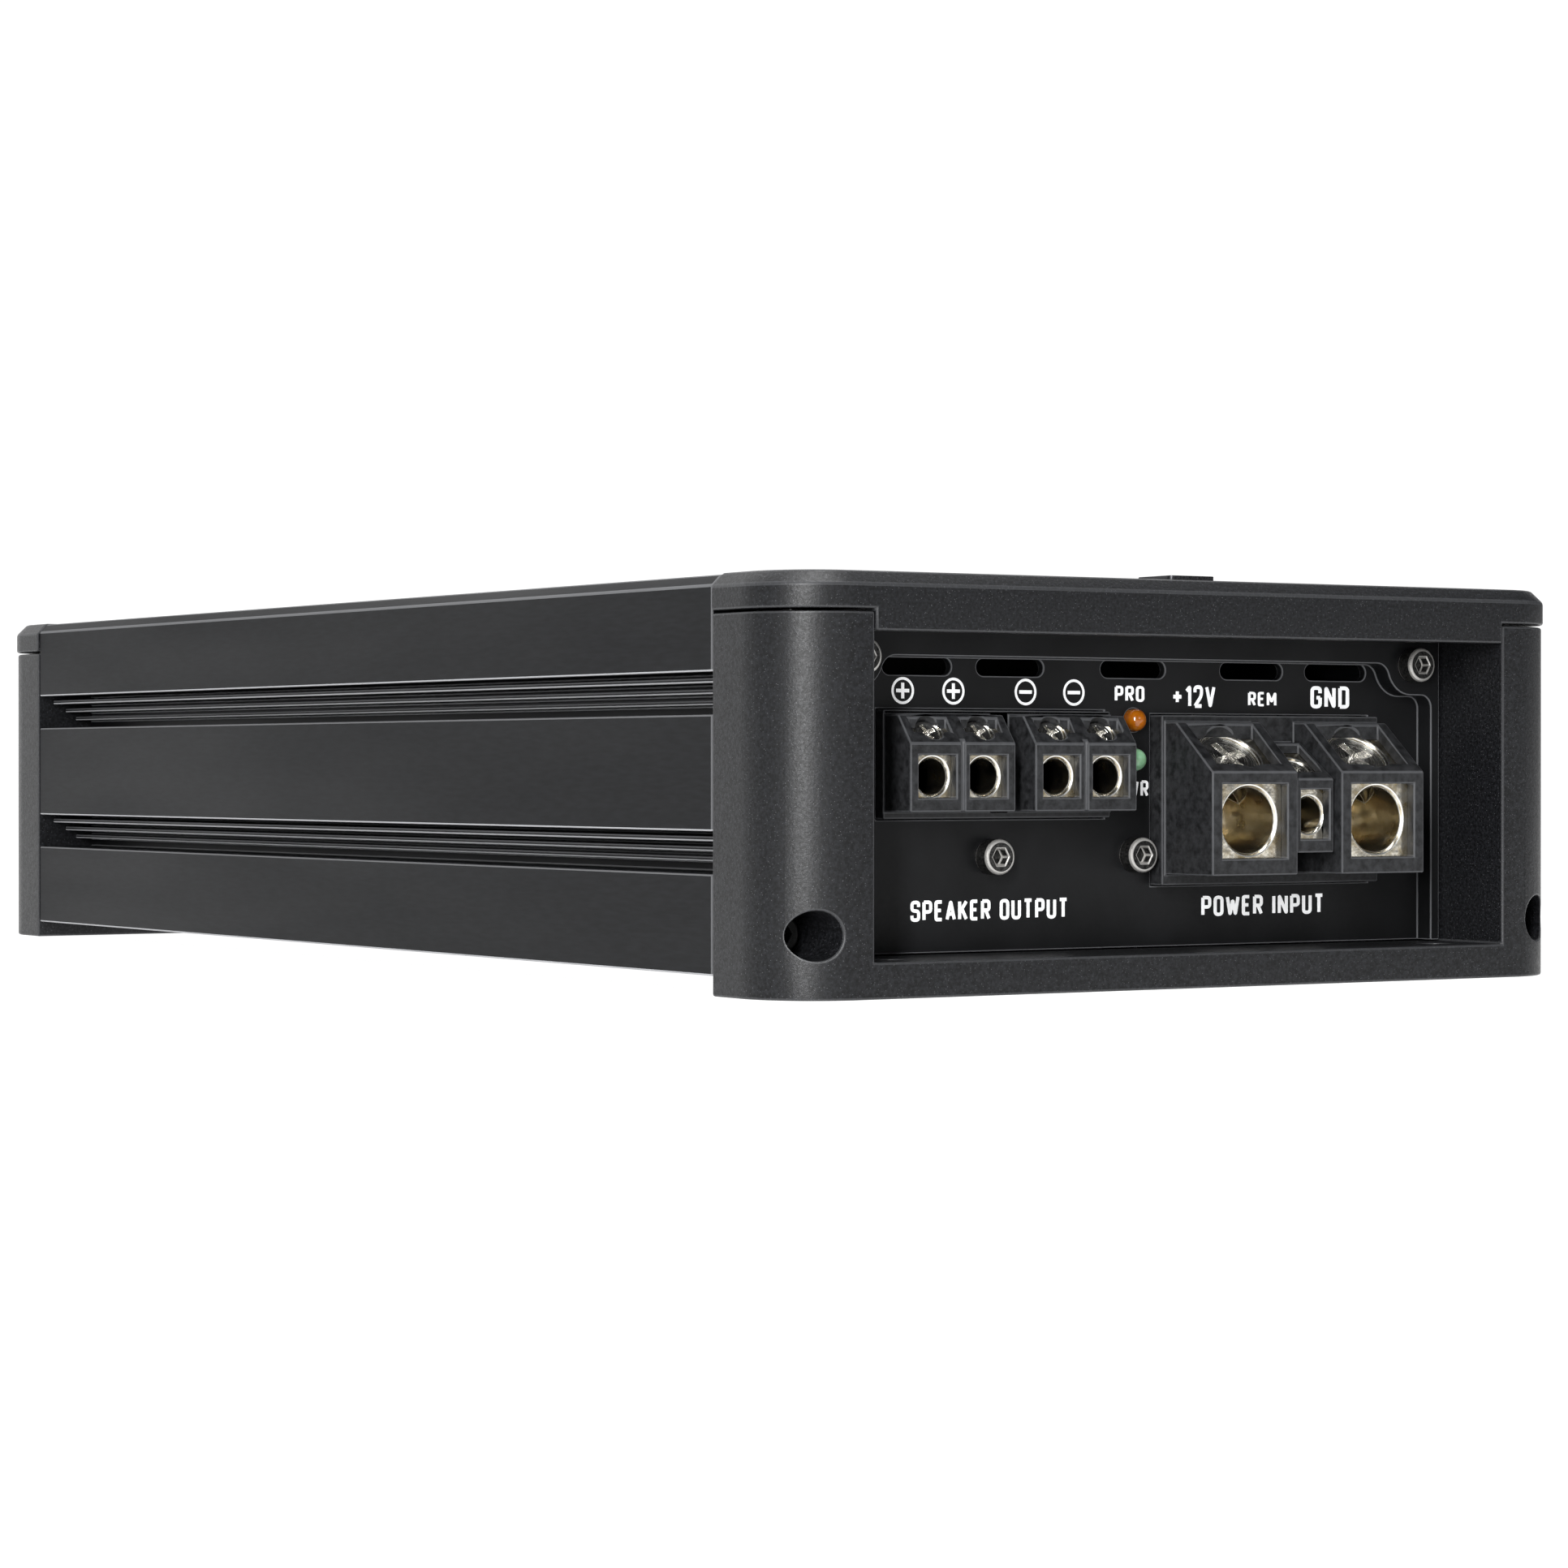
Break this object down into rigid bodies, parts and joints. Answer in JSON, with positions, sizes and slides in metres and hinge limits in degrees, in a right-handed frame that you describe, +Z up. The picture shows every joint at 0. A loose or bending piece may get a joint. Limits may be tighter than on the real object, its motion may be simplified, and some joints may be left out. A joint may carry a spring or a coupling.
{
  "type": "car amplifier",
  "caption": "Low black car audio amplifier with slotted aluminium sides, capped end frames, clamp-screw wire terminals in one end and signal controls in the other.",
  "frame": {"origin": "middle of the footprint, on the mounting surface", "axes": "+Z up, away from the mounting surface; +Y along the case, from the terminal end to the control end; +X to the right when facing the terminals"},
  "size_m": [0.152, 0.3, 0.0632],
  "materials": {
    "sink_anodised": "black anodised extrusion with a fine satin grain",
    "frame_powder_coat": "black powder coat with a fine sparkle",
    "badge_metal": "polished plate",
    "panel_paint": "smooth satin black",
    "plate_steel": "zinc plated sheet",
    "black_screws": "black oxide with bright edges",
    "terminal_plastic": "moulded black plastic",
    "nickel": "nickel plated brass",
    "amber_lens": "amber lens",
    "green_lens": "pale green lens",
    "gold_plate": "gold plated",
    "white_plastic": "white plastic",
    "red_plastic": "red plastic",
    "pot_plastic": "blue plastic",
    "knob_plastic": "black plastic",
    "switch_metal": "plated steel",
    "circuit_board": "green solder mask",
    "copper_wire": "enamelled copper on a ferrite core",
    "ferrite": "dark ferrite",
    "capacitor_sleeve": "dark sleeve",
    "transistor_epoxy": "black epoxy",
    "insulator_pad": "grey silicone pad"
  },
  "bodies": {
    "root": {"heatsink": "sink_anodised", "bottom_plate": "plate_steel", "front_frame": "frame_powder_coat", "rear_frame": "frame_powder_coat", "front_cap": "frame_powder_coat", "rear_cap": "frame_powder_coat", "cap_badge": "badge_metal", "front_panel": "panel_paint", "rear_panel": "panel_paint", "frame_screws": "black_screws", "cap_screws": "black_screws", "panel_screws": "black_screws", "bottom_screws": "black_screws", "power_terminal_block": "terminal_plastic", "speaker_terminal_block": "terminal_plastic", "positive_barrel": "nickel", "ground_barrel": "nickel", "remote_barrel": "nickel", "speaker_barrel_1": "nickel", "speaker_barrel_2": "nickel", "speaker_barrel_3": "nickel", "speaker_barrel_4": "nickel", "protect_lamp": "amber_lens", "power_lamp": "green_lens", "phono_block": "terminal_plastic", "phono_shells": "gold_plate", "phono_left_insulators": "white_plastic", "phono_right_insulators": "red_plastic", "trim_pots": "pot_plastic", "switch_body": "switch_metal", "level_remote_port": "terminal_plastic", "control_board": "circuit_board", "main_board": "circuit_board", "board_bracket": "plate_steel", "power_transformer": "copper_wire", "output_inductor": "ferrite", "input_capacitors": "capacitor_sleeve", "rail_capacitors": "capacitor_sleeve", "power_transistors": "transistor_epoxy", "clamp_bars": "plate_steel", "insulator_strips": "insulator_pad"},
    "positive_pressure_pad": {"positive_pressure_pad": "nickel"},
    "positive_clamp_screw": {"positive_clamp_screw": "nickel"},
    "ground_pressure_pad": {"ground_pressure_pad": "nickel"},
    "ground_clamp_screw": {"ground_clamp_screw": "nickel"},
    "remote_pressure_pad": {"remote_pressure_pad": "nickel"},
    "remote_clamp_screw": {"remote_clamp_screw": "nickel"},
    "speaker_pressure_pad_1": {"speaker_pressure_pad_1": "nickel"},
    "speaker_clamp_screw_1": {"speaker_clamp_screw_1": "nickel"},
    "speaker_pressure_pad_2": {"speaker_pressure_pad_2": "nickel"},
    "speaker_clamp_screw_2": {"speaker_clamp_screw_2": "nickel"},
    "speaker_pressure_pad_3": {"speaker_pressure_pad_3": "nickel"},
    "speaker_clamp_screw_3": {"speaker_clamp_screw_3": "nickel"},
    "speaker_pressure_pad_4": {"speaker_pressure_pad_4": "nickel"},
    "speaker_clamp_screw_4": {"speaker_clamp_screw_4": "nickel"},
    "level_knob": {"level_knob": "knob_plastic"},
    "low_pass_knob": {"low_pass_knob": "knob_plastic"},
    "subsonic_knob": {"subsonic_knob": "knob_plastic"},
    "bass_boost_knob": {"bass_boost_knob": "knob_plastic"},
    "phase_slider": {"phase_slider": "knob_plastic"}
  },
  "joints": [
    {"name": "positive_pad_slide", "type": "slide", "parent": "root", "child": "positive_pressure_pad", "axis": [0, 0.6428, -0.766], "range_m": [0, 0.006]},
    {"name": "positive_screw_turn", "type": "hinge", "parent": "positive_pressure_pad", "child": "positive_clamp_screw", "pos_m": [0.0126, -0.1416, 0.03721], "axis": [0, 0.6428, -0.766], "range_deg": [0, 1445]},
    {"name": "ground_pad_slide", "type": "slide", "parent": "root", "child": "ground_pressure_pad", "axis": [0, 0.6428, -0.766], "range_m": [0, 0.006]},
    {"name": "ground_screw_turn", "type": "hinge", "parent": "ground_pressure_pad", "child": "ground_clamp_screw", "pos_m": [0.0384, -0.1416, 0.03721], "axis": [0, 0.6428, -0.766], "range_deg": [0, 1445]},
    {"name": "remote_pad_slide", "type": "slide", "parent": "root", "child": "remote_pressure_pad", "axis": [0, 0.5736, -0.8192], "range_m": [0, 0.0035]},
    {"name": "remote_screw_turn", "type": "hinge", "parent": "remote_pressure_pad", "child": "remote_clamp_screw", "pos_m": [0.0255, -0.1413, 0.03487], "axis": [0, 0.5736, -0.8192], "range_deg": [0, 1805]},
    {"name": "speaker_1_pad_slide", "type": "slide", "parent": "root", "child": "speaker_pressure_pad_1", "axis": [0, 0.788, -0.6157], "range_m": [0, 0.0035]},
    {"name": "speaker_1_screw_turn", "type": "hinge", "parent": "speaker_pressure_pad_1", "child": "speaker_clamp_screw_1", "pos_m": [-0.04312, -0.1387, 0.03983], "axis": [0, 0.788, -0.6157], "range_deg": [0, 1805]},
    {"name": "speaker_2_pad_slide", "type": "slide", "parent": "root", "child": "speaker_pressure_pad_2", "axis": [0, 0.788, -0.6157], "range_m": [0, 0.0035]},
    {"name": "speaker_2_screw_turn", "type": "hinge", "parent": "speaker_pressure_pad_2", "child": "speaker_clamp_screw_2", "pos_m": [-0.03379, -0.1387, 0.03983], "axis": [0, 0.788, -0.6157], "range_deg": [0, 1805]},
    {"name": "speaker_3_pad_slide", "type": "slide", "parent": "root", "child": "speaker_pressure_pad_3", "axis": [0, 0.788, -0.6157], "range_m": [0, 0.0035]},
    {"name": "speaker_3_screw_turn", "type": "hinge", "parent": "speaker_pressure_pad_3", "child": "speaker_clamp_screw_3", "pos_m": [-0.02022, -0.1387, 0.03983], "axis": [0, 0.788, -0.6157], "range_deg": [0, 1805]},
    {"name": "speaker_4_pad_slide", "type": "slide", "parent": "root", "child": "speaker_pressure_pad_4", "axis": [0, 0.788, -0.6157], "range_m": [0, 0.0035]},
    {"name": "speaker_4_screw_turn", "type": "hinge", "parent": "speaker_pressure_pad_4", "child": "speaker_clamp_screw_4", "pos_m": [-0.01089, -0.1387, 0.03983], "axis": [0, 0.788, -0.6157], "range_deg": [0, 1805]},
    {"name": "level_turn", "type": "hinge", "parent": "root", "child": "level_knob", "pos_m": [0.011, 0.1317, 0.032], "axis": [0, -1, 0], "range_deg": [-140, 140]},
    {"name": "low_pass_turn", "type": "hinge", "parent": "root", "child": "low_pass_knob", "pos_m": [-0.0025, 0.1317, 0.032], "axis": [0, -1, 0], "range_deg": [-140, 140]},
    {"name": "subsonic_turn", "type": "hinge", "parent": "root", "child": "subsonic_knob", "pos_m": [-0.016, 0.1317, 0.032], "axis": [0, -1, 0], "range_deg": [-140, 140]},
    {"name": "bass_boost_turn", "type": "hinge", "parent": "root", "child": "bass_boost_knob", "pos_m": [-0.0295, 0.1317, 0.032], "axis": [0, -1, 0], "range_deg": [-140, 140]},
    {"name": "phase_slide", "type": "slide", "parent": "root", "child": "phase_slider", "axis": [0, 0, 1], "range_m": [0, 0.004]}
  ],
  "couplings": [
    {"joint": "positive_screw_turn", "follows": "positive_pad_slide", "rad_per_m": 4188.8},
    {"joint": "ground_screw_turn", "follows": "ground_pad_slide", "rad_per_m": 4188.8},
    {"joint": "remote_screw_turn", "follows": "remote_pad_slide", "rad_per_m": 8976},
    {"joint": "speaker_1_screw_turn", "follows": "speaker_1_pad_slide", "rad_per_m": 8976},
    {"joint": "speaker_2_screw_turn", "follows": "speaker_2_pad_slide", "rad_per_m": 8976},
    {"joint": "speaker_3_screw_turn", "follows": "speaker_3_pad_slide", "rad_per_m": 8976},
    {"joint": "speaker_4_screw_turn", "follows": "speaker_4_pad_slide", "rad_per_m": 8976}
  ]
}
